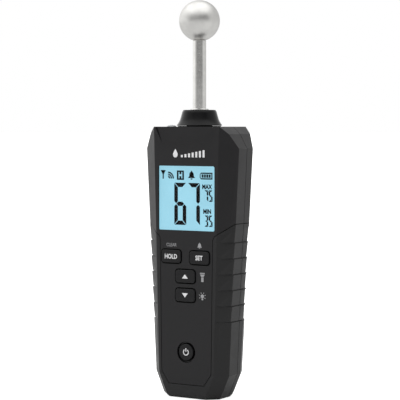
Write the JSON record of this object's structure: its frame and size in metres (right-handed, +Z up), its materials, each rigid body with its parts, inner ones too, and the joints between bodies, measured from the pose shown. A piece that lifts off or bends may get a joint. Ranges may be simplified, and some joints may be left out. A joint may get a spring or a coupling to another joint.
{
  "type": "moisture meter",
  "caption": "Hand-held moisture meter with a steel ball probe on a rod, a lit display, push keys, a ribbed soft grip and a battery cover at the back.",
  "frame": {"origin": "middle of the bottom face, under the probe's axis", "axes": "+Z up along the case and the probe, display facing -Y, +X to the right of the display"},
  "size_m": [0.0566, 0.0272, 0.2067],
  "materials": {
    "housing": "fine moulded texture, satin dark grey",
    "grip": "soft moulded rubber, dark grey",
    "keys": "moulded rubber with printed white marks",
    "key_rubber": "moulded silicone",
    "window": "clear acrylic",
    "display": "lit liquid crystal, pale blue with black segments",
    "light_guide": "diffusing white",
    "white_plastic": "moulded white",
    "board": "solder resist over glass laminate",
    "chip": "black moulded resin",
    "tray": "moulded black",
    "plated": "tinned sheet and spring wire",
    "screws": "zinc plated, cross recess",
    "collar": "satin gloss black",
    "ball": "satin stainless",
    "rod": "polished stainless",
    "brass": "turned",
    "wire": "insulated wire",
    "cell": "printed sleeve, plain band"
  },
  "bodies": {
    "meter": {"front_case": "housing", "rear_case": "housing", "front_grip": "grip", "rear_grip": "grip", "key_mat": "key_rubber", "window_seal": "key_rubber", "lcd_contact_strip": "key_rubber", "collar_gasket": "key_rubber", "display_window": "window", "lamp_lens": "window", "lcd_glass": "display", "backlight_panel": "light_guide", "lamp_diode": "light_guide", "lcd_holder": "white_plastic", "probe_bush": "white_plastic", "main_board": "board", "sensor_board": "board", "lamp_board": "board", "processor_chip": "chip", "sounder": "chip", "battery_tray": "tray", "hold_switch": "plated", "set_switch": "plated", "up_switch": "plated", "down_switch": "plated", "power_switch": "plated", "radio_module": "plated", "lower_contact": "plated", "upper_contact": "plated", "cell_spring_1": "plated", "cell_spring_2": "plated", "cell_spring_3": "plated", "case_screw_1": "screws", "case_screw_2": "screws", "case_screw_3": "screws", "case_screw_4": "screws", "case_screw_5": "screws", "case_screw_6": "screws", "probe_collar": "collar", "probe_ball": "ball", "probe_rod": "rod", "rod_ring": "rod", "collar_nut": "brass", "rod_nut": "brass", "rod_terminal": "brass", "probe_lead": "wire"},
    "hold_button": {"hold_key": "keys"},
    "set_button": {"set_key": "keys"},
    "up_button": {"up_key": "keys"},
    "down_button": {"down_key": "keys"},
    "power_button": {"power_key": "keys"},
    "battery_cover": {"battery_door": "housing", "door_seal": "key_rubber"},
    "cover_screw": {"door_screw": "screws"},
    "cell_1": {"battery_cell_1": "cell"},
    "cell_2": {"battery_cell_2": "cell"},
    "cell_3": {"battery_cell_3": "cell"}
  },
  "joints": [
    {"name": "hold_press", "type": "slide", "parent": "meter", "child": "hold_button", "axis": [0, 1, 0], "range_m": [0, 0.0006], "stiffness_N_per_m": 2500},
    {"name": "set_press", "type": "slide", "parent": "meter", "child": "set_button", "axis": [0, 1, 0], "range_m": [0, 0.0006], "stiffness_N_per_m": 2500},
    {"name": "up_press", "type": "slide", "parent": "meter", "child": "up_button", "axis": [0, 1, 0], "range_m": [0, 0.0006], "stiffness_N_per_m": 2500},
    {"name": "down_press", "type": "slide", "parent": "meter", "child": "down_button", "axis": [0, 1, 0], "range_m": [0, 0.0006], "stiffness_N_per_m": 2500},
    {"name": "power_press", "type": "slide", "parent": "meter", "child": "power_button", "axis": [0, 1, 0], "range_m": [0, 0.0006], "stiffness_N_per_m": 2500},
    {"name": "cover_lift", "type": "slide", "parent": "meter", "child": "battery_cover", "axis": [0, 1, 0], "range_m": [0, 0.034]},
    {"name": "cover_screw_turn", "type": "hinge", "parent": "battery_cover", "child": "cover_screw", "pos_m": [0, 0.01, 0.0732], "axis": [0, 1, 0], "continuous": true},
    {"name": "cell_1_lift", "type": "slide", "parent": "meter", "child": "cell_1", "axis": [0, 1, 0], "range_m": [0, 0.017]},
    {"name": "cell_2_lift", "type": "slide", "parent": "meter", "child": "cell_2", "axis": [0, 1, 0], "range_m": [0, 0.017]},
    {"name": "cell_3_lift", "type": "slide", "parent": "meter", "child": "cell_3", "axis": [0, 1, 0], "range_m": [0, 0.017]}
  ],
  "couplings": [
    {"joint": "cell_1_lift", "follows": "cover_lift", "ratio": 0.5},
    {"joint": "cell_2_lift", "follows": "cover_lift", "ratio": 0.5},
    {"joint": "cell_3_lift", "follows": "cover_lift", "ratio": 0.5}
  ]
}
